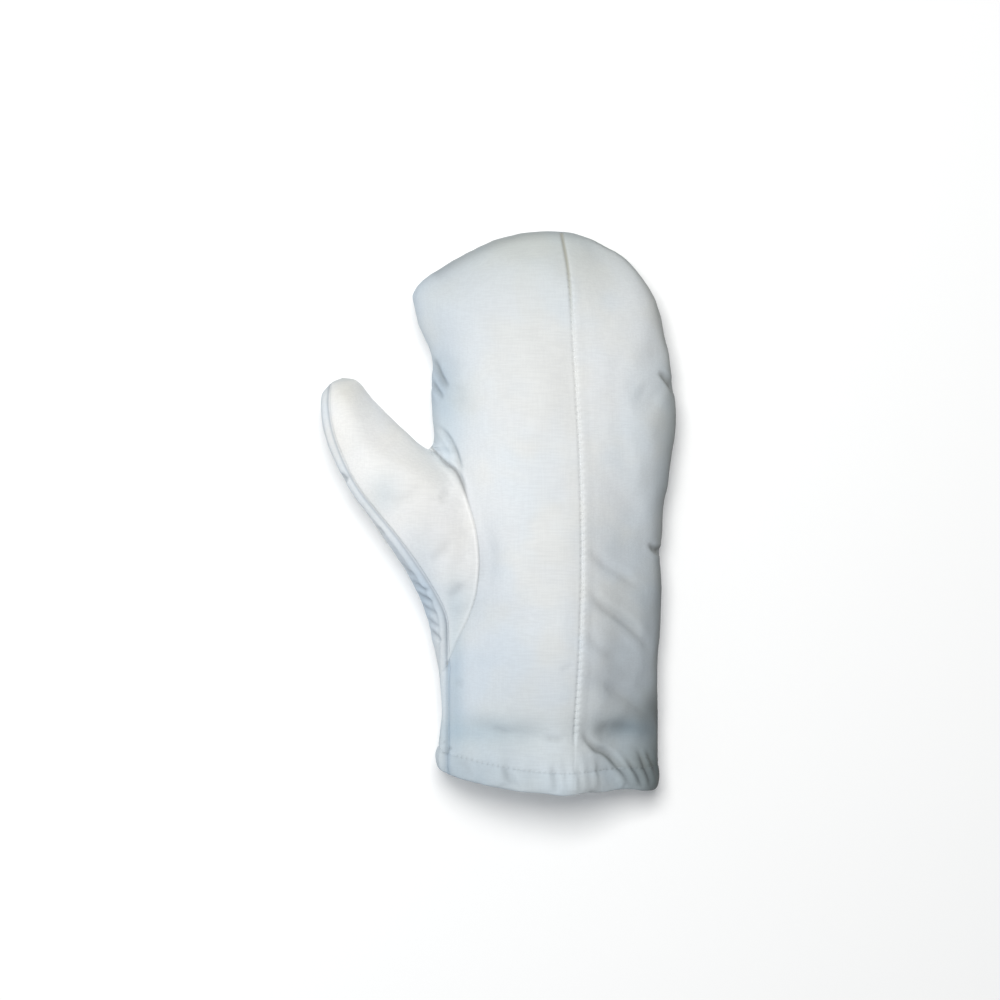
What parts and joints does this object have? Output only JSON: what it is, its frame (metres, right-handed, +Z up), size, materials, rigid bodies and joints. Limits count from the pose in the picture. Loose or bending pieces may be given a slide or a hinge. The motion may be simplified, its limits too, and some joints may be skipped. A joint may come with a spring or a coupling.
{
  "type": "bakers glove",
  "caption": "Padded white cotton bakers mitt for the left hand, with a set-in thumb, a centre seam down the palm and a turned-in hem round its open cuff.",
  "frame": {"origin": "under the middle of the mitt's outline, on the surface that it rests on", "axes": "+Y from the cuff to the fingertips, +Z up out of the palm, +X from the thumb to the little-finger side"},
  "size_m": [0.2088, 0.3301, 0.0543],
  "materials": {
    "palm_cotton": "matt bleached cotton twill",
    "back_cotton": "matt bleached cotton twill",
    "thumb_cotton": "matt cream-white cotton twill"
  },
  "bodies": {
    "root": {"palm_thumb_half": "palm_cotton", "palm_outer_half": "palm_cotton", "back_panel": "back_cotton", "thumb_front": "thumb_cotton", "thumb_back": "back_cotton", "hem_band": "back_cotton"}
  },
  "joints": []
}
